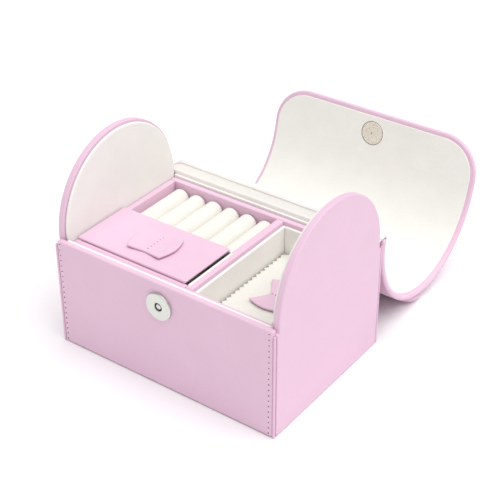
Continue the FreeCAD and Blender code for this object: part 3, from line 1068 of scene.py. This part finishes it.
def smooth_path(points, count):
    """Points on a smooth curve through the given ones."""
    padded = [points[0] * 2 - points[1]] + points + [points[-1] * 2 - points[-2]]
    curve = []
    for before, here, there, after in zip(padded, padded[1:], padded[2:], padded[3:]):
        for share in steps(0, 1, count)[:-1]:
            a = 2 * here
            b = (there - before) * share
            c = (2 * before - 5 * here + 4 * there - after) * share ** 2
            d = (3 * here - before - 3 * there + after) * share ** 3
            curve.append((a + b + c + d) / 2)
    return curve + [points[-1]]


class MakeStrap(bpy.types.Operator):
    """Make the two-layer handle strap and its rivets"""

    bl_idname = "jewellery_case.strap"
    bl_label = "Handle strap"

    edge_round = 0.45 * MM
    head_radius = 3.5 * MM
    head_height = 1.5 * MM
    head_edge = 0.25
    shank_radius = 1.5 * MM
    shank_sunk = 2.0 * MM
    rivet_sides = 32

    def execute(self, context):
        front = STRAP_Y - STRAP_WIDTH / 2
        back = STRAP_Y + STRAP_WIDTH / 2
        outline = round_rectangle(-STRAP_END, STRAP_END, front, back, STRAP_CORNER)
        for layer, node in enumerate(("strap_lining", "strap_leather")):
            low = STRAP_LOW + layer * STRAP_THICK
            build = slab(outline, low, low + STRAP_THICK, self.edge_round)
            dressed(f"{node}_layer", laid(build, opened), "lid", "leather", node)
        self.make_rivets()
        return {"FINISHED"}

    def make_rivets(self):
        """The two domed rivets that hold the strap on the lid."""
        radius = self.head_radius
        shank = self.shank_radius
        foot = ARCH_CENTRE + SHELL_OUTER - self.shank_sunk - STRAP_TOP
        profile = [(0, foot), (shank, foot), (shank, 0), (radius, 0)]
        for angle in steps(0, math.pi / 2, 7)[:-1]:
            share = self.head_edge + (1 - self.head_edge) * math.sin(angle)
            profile.append((radius * math.cos(angle), self.head_height * share))
        profile.append((0, self.head_height))
        facing = SHUT_TO_OPEN.to_3x3() @ Vector((0, 0, 1))
        build = bmesh.new()
        for across in (RIVET_INSET - STRAP_END, STRAP_END - RIVET_INSET):
            join(build, lathe(profile, opened(across, STRAP_Y, STRAP_TOP), facing, self.rivet_sides))
        dressed("strap_rivet_heads", build, "lid", "nickel", "strap_rivets")


class MakeSnap(bpy.types.Operator):
    """Make the magnetic snap: the turned socket on the front and the plate in the lid"""

    bl_idname = "jewellery_case.snap"
    bl_label = "Magnetic snap"

    hole = 2.6 * MM
    hole_floor = 0.15 * MM
    post = 1.7 * MM
    post_face = 0.7
    post_drop = 0.3 * MM
    post_edge = 0.3 * MM
    lip = 0.35 * MM
    dish_depth = 0.12 * MM
    dish_inset = 2.2
    rim = 0.5 * MM
    throat_skin = 0.1 * MM
    throat_gap = 0.03 * MM
    plate_radius = 8.0 * MM
    plate_thick = 1.1 * MM
    plate_rim = 0.3 * MM
    eye_radius = 0.8 * MM
    eye_depth = 0.5 * MM

    def execute(self, context):
        low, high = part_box("snap_socket")
        proud = high.y - low.y
        spot = Vector((0, high.y, SNAP_HEIGHT))
        self.make_socket((high.x - low.x) / 2, proud, spot)
        self.make_throat(proud, spot)
        magnet = frame["nodes"]["closure_magnet"].data
        magnet.materials.clear()
        magnet.materials.append(finish_material("nickel"))
        self.make_plate()
        return {"FINISHED"}

    def make_socket(self, radius, proud, spot):
        """The socket: a post in a hole with a raised lip, then a shallow dish and a round rim."""
        hole = self.hole
        lip = self.lip
        rim = self.rim
        tip = proud - self.post_drop
        dish = proud - self.dish_depth
        profile = [(0, tip), (self.post * self.post_face, tip), (self.post, tip - self.post_edge)]
        profile += [(self.post, self.hole_floor), (hole, self.hole_floor), (hole, proud - lip)]
        profile += [(hole + lip, proud), (hole + 3 * lip, proud), (hole + 4 * lip, dish)]
        profile += [(radius - self.dish_inset * rim, dish)]
        profile += arc((radius - rim, proud - rim), rim, math.pi / 2, 0, 5)
        profile += [(radius, 0), (0, 0)]
        socket = lathe(profile, spot, (0, -1, 0))
        dressed("snap_socket_turned", socket, "case", "nickel", "snap_socket")

    def make_throat(self, proud, spot):
        """The shaded inside of the socket's hole."""
        skin = self.throat_skin
        inner = self.post - 2 * skin
        low = self.hole_floor + skin
        high = proud - 2 * self.lip
        profile = [(inner, low), (self.hole + skin, low), (self.hole - self.throat_gap, high)]
        profile += [(self.hole - skin, high), (self.hole - skin, low + skin), (inner, low + skin)]
        throat = make_piece("snap_socket_throat", lathe(profile, spot, (0, -1, 0)), "hole")
        settle(throat, "case", "nickel")

    def make_plate(self):
        """The round plate in the lid, with a small eye in its middle."""
        radius = self.plate_radius
        thick = self.plate_thick
        eye = self.eye_radius
        eye_floor = thick - self.eye_depth
        profile = [(0, eye_floor), (eye, eye_floor), (eye, thick), (radius - self.plate_rim, thick)]
        profile += [(radius, thick - self.plate_rim), (radius, 0), (0, 0)]
        plate = lathe(profile, PLATE_SPOT, PLATE_FACING)
        dressed("lid_snap_plate_blasted", plate, "lid", "plate", "lid_snap_plate")


class MakeStitches(bpy.types.Operator):
    """Sew the panel ends, the bows and the strap with rows of stitches"""

    bl_idname = "jewellery_case.stitches"
    bl_label = "Stitches"

    bay_bow_reach = 7.0 * MM
    bay_bow_pitch = 2.8 * MM
    cover_bow_reach = 3.5 * MM
    cover_bow_pitch = 2.4 * MM
    strap_inset = 2.2 * MM
    row_foot = 3.0 * MM
    row_head = 1.9 * MM
    # A row is a whole number of stitches and this share of one more, so that it keeps its last hole
    spare = 0.01

    def execute(self, context):
        tree = stitch_tree()
        pitch = sizes().stitch_pitch
        hole = sizes().hole_radius
        bow_hole = sizes().bow_hole_radius
        bay_bow_row = self.bow_row("bay_bow", Vector((0, self.bay_bow_reach, 0)))
        cover_bow_row = self.bow_row("cover_bow", Vector((self.cover_bow_reach, 0, 0)))
        self.sew(tree, "case", self.panel_rows(), pitch, hole)
        self.sew(tree, "bay_lid", [bay_bow_row], self.bay_bow_pitch, bow_hole)
        self.sew(tree, "well_cover", [cover_bow_row], self.cover_bow_pitch, bow_hole)
        self.sew(tree, "lid", self.strap_rows(), pitch, hole)
        return {"FINISHED"}

    def panel_rows(self):
        """The upright rows near the ends of the front and back panels."""
        rows = []
        across = HALF_WIDTH - sizes().stitch_inset
        low = FRONT_LOW.z + self.row_foot
        high = FRONT_HIGH.z - self.row_head
        for depth in (FRONT_LOW.y, -FRONT_LOW.y):
            for side in (-across, across):
                rows.append((Vector((side, depth, low)), Vector((side, depth, high))))
        return rows

    def bow_row(self, node, reach):
        """The row over a bow's waist, as far as reach to each side of its middle."""
        low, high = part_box(node)
        top = (low + high) / 2
        top.z = high.z
        return top - reach, top + reach

    def strap_rows(self):
        """The rows along the strap's two long sides."""
        reach = STRAP_END - STRAP_CORNER
        half = STRAP_WIDTH / 2 - self.strap_inset
        rows = []
        for depth in (STRAP_Y - half, STRAP_Y + half):
            rows.append((opened(-reach, depth, STRAP_TOP), opened(reach, depth, STRAP_TOP)))
        return rows

    def sew(self, tree, body, rows, pitch, hole):
        """Draw the rows as edges, put stitches along them, and keep the result as a plain mesh."""
        spots = [spot for row in rows for spot in row]
        run = (spots[1] - spots[0]).length
        pitch = run / (round(run / pitch) + self.spare)
        edges = [(number, number + 1) for number in range(0, len(spots), 2)]
        mesh = bpy.data.meshes.new("stitch_rows")
        mesh.from_pydata(spots, edges, [])
        rows_object = bpy.data.objects.new("stitch_rows", mesh)
        bpy.context.scene.collection.objects.link(rows_object)
        sewing = rows_object.modifiers.new("sewing", "NODES")
        sewing.node_group = tree
        values = {
            "Pitch": pitch,
            "Thread radius": sizes().thread_radius,
            "Hole radius": hole,
            "Thread": finish_material("thread"),
            "Hole": finish_material("hole"),
        }
        for item in tree.interface.items_tree:
            if item.name in values:
                sewing[item.identifier] = values[item.name]
        sewn = baked(rows_object)
        bpy.data.objects.remove(rows_object)
        sewn.shade_smooth()
        piece = bpy.data.objects.new(f"{body}_stitches", sewn)
        bpy.context.scene.collection.objects.link(piece)
        settle(piece, body, "thread")


# Half a stitch's thread as a share of the pitch
THREAD_REACH = 0.40


def stitch_tree():
    """Geometry nodes that lay thread and needle holes along every edge of a mesh."""
    tree = bpy.data.node_groups.new("stitches", "GeometryNodeTree")
    tree.interface.new_socket("Rows", in_out="INPUT", socket_type="NodeSocketGeometry")
    for name in ("Pitch", "Thread radius", "Hole radius"):
        tree.interface.new_socket(name, in_out="INPUT", socket_type="NodeSocketFloat")
    for name in ("Thread", "Hole"):
        tree.interface.new_socket(name, in_out="INPUT", socket_type="NodeSocketMaterial")
    tree.interface.new_socket("Stitches", in_out="OUTPUT", socket_type="NodeSocketGeometry")
    given = add(tree, "NodeGroupInput").outputs
    line = add(tree, "GeometryNodeMeshToCurve", None, {"Mesh": given["Rows"]})
    dots = add(tree, "GeometryNodeCurveToPoints", {"mode": "LENGTH"}, {
        "Curve": line.outputs["Curve"], "Length": given["Pitch"]})
    ball = add(tree, "GeometryNodeMeshUVSphere", None, {"Segments": 8, "Rings": 5, "Radius": 1.0})

    half_pitch = add(tree, "ShaderNodeMath", {"operation": "MULTIPLY"}, {
        0: given["Pitch"], 1: 0.5})
    past_first = add(tree, "GeometryNodeTrimCurve", {"mode": "LENGTH"}, {
        0: line.outputs["Curve"], 4: half_pitch.outputs[0], 5: 1.0})
    between = add(tree, "GeometryNodeCurveToPoints", {"mode": "LENGTH"}, {
        "Curve": past_first.outputs["Curve"], "Length": given["Pitch"]})
    reach = add(tree, "ShaderNodeMath", {"operation": "MULTIPLY"}, {
        0: given["Pitch"], 1: THREAD_REACH})
    thread_size = add(tree, "ShaderNodeCombineXYZ", None, {
        "X": given["Thread radius"], "Y": given["Thread radius"], "Z": reach.outputs[0]})
    thread = add(tree, "GeometryNodeInstanceOnPoints", None, {
        "Points": between.outputs["Points"], "Instance": ball.outputs["Mesh"],
        "Rotation": between.outputs["Rotation"], "Scale": thread_size.outputs["Vector"]})
    thread_mesh = add(tree, "GeometryNodeRealizeInstances", None, {
        "Geometry": thread.outputs["Instances"]})
    thread_done = add(tree, "GeometryNodeSetMaterial", None, {
        "Geometry": thread_mesh.outputs["Geometry"], "Material": given["Thread"]})

    # Dark balls at the needle holes: painted shade for the shade inside each hole
    hole_size = add(tree, "ShaderNodeCombineXYZ", None, {
        "X": given["Hole radius"], "Y": given["Hole radius"], "Z": given["Hole radius"]})
    hole = add(tree, "GeometryNodeInstanceOnPoints", None, {
        "Points": dots.outputs["Points"], "Instance": ball.outputs["Mesh"],
        "Scale": hole_size.outputs["Vector"]})
    hole_mesh = add(tree, "GeometryNodeRealizeInstances", None, {
        "Geometry": hole.outputs["Instances"]})
    hole_done = add(tree, "GeometryNodeSetMaterial", None, {
        "Geometry": hole_mesh.outputs["Geometry"], "Material": given["Hole"]})

    both = add(tree, "GeometryNodeJoinGeometry")
    for branch in (thread_done, hole_done):
        tree.links.new(branch.outputs["Geometry"], both.inputs["Geometry"])
    add(tree, "NodeGroupOutput", None, {"Stitches": both.outputs["Geometry"]})
    return tree


class MakeStage(bpy.types.Operator):
    """Make the paper floor, the studio lights and the camera"""

    bl_idname = "jewellery_case.stage"
    bl_label = "Stage"

    floor_size = 6.0
    sky = 0.54
    light_from = (0.32, 0.06, 1.0)
    light_spread = math.radians(70)
    light_power = 2.36

    def execute(self, context):
        bpy.context.scene.view_settings.view_transform = "Standard"
        self.make_floor()
        self.make_world()
        self.make_light()
        self.make_camera()
        return {"FINISHED"}

    def make_floor(self):
        build = bmesh.new()
        half = self.floor_size / 2
        build.faces.new([build.verts.new((x, y, 0)) for x, y in rectangle(-half, half, -half, half)])
        mesh = bpy.data.meshes.new("paper_floor")
        build.to_mesh(mesh)
        build.free()
        mesh.materials.append(paper_sweep())
        floor = bpy.data.objects.new("paper_floor", mesh)
        bpy.context.scene.collection.objects.link(floor)

    def make_world(self):
        world = bpy.data.worlds.new("studio")
        world.use_nodes = True
        background = world.node_tree.nodes["Background"]
        background.inputs["Color"].default_value = (1.0, 1.0, 1.0, 1.0)
        background.inputs["Strength"].default_value = self.sky
        bpy.context.scene.world = world

    def make_light(self):
        """One very broad overhead light, a little to the right, as from a ceiling of diffusers."""
        lamp = bpy.data.lights.new("overhead", "SUN")
        lamp.angle = self.light_spread
        lamp.energy = self.light_power
        light = bpy.data.objects.new("overhead", lamp)
        light.rotation_euler = Vector(self.light_from).to_track_quat("Z", "Y").to_euler()
        bpy.context.scene.collection.objects.link(light)

    def make_camera(self):
        lens = bpy.data.cameras.new("camera")
        lens.lens = CAMERA_LENS
        lens.clip_start = 0.01
        camera = bpy.data.objects.new("camera", lens)
        back = Vector((
            math.sin(CAMERA_AZIMUTH) * math.cos(CAMERA_ELEVATION),
            -math.cos(CAMERA_AZIMUTH) * math.cos(CAMERA_ELEVATION),
            math.sin(CAMERA_ELEVATION),
        ))
        camera.location = CAMERA_TARGET + back * CAMERA_DISTANCE
        camera.rotation_euler = (-back).to_track_quat("-Z", "Y").to_euler()
        bpy.context.scene.collection.objects.link(camera)
        bpy.context.scene.camera = camera


MAKERS = (
    MakeBoards, MakeLinings, MakeTray, MakeRingRolls, MakeWell, MakeBayLid, MakeBows, MakeLid,
    MakeHinge, MakeStrap, MakeSnap, MakeStitches, MakeStage,
)


class CasePanel(bpy.types.Panel):
    """Lists the steps that dress the jewellery case"""

    bl_idname = "VIEW3D_PT_jewellery_case"
    bl_label = "Jewellery case"
    bl_space_type = "VIEW_3D"
    bl_region_type = "UI"
    bl_category = "Jewellery case"

    def draw(self, context):
        for group in (context.scene.case_sizes, context.scene.case_colours):
            for name in group.__annotations__:
                self.layout.prop(group, name)
        for maker in MAKERS:
            self.layout.operator(maker.bl_idname)


CLASSES = (CaseSizes, CaseColours, *MAKERS, CasePanel)


def register():
    for kind in CLASSES:
        bpy.utils.register_class(kind)
    bpy.types.Scene.case_sizes = bpy.props.PointerProperty(type=CaseSizes)
    bpy.types.Scene.case_colours = bpy.props.PointerProperty(type=CaseColours)


def unregister():
    del bpy.types.Scene.case_sizes
    del bpy.types.Scene.case_colours
    for kind in reversed(CLASSES):
        bpy.utils.unregister_class(kind)


def main():
    register()
    for maker in MAKERS:
        group, name = maker.bl_idname.split(".")
        getattr(getattr(bpy.ops, group), name)()


if __name__ == "__main__":
    main()
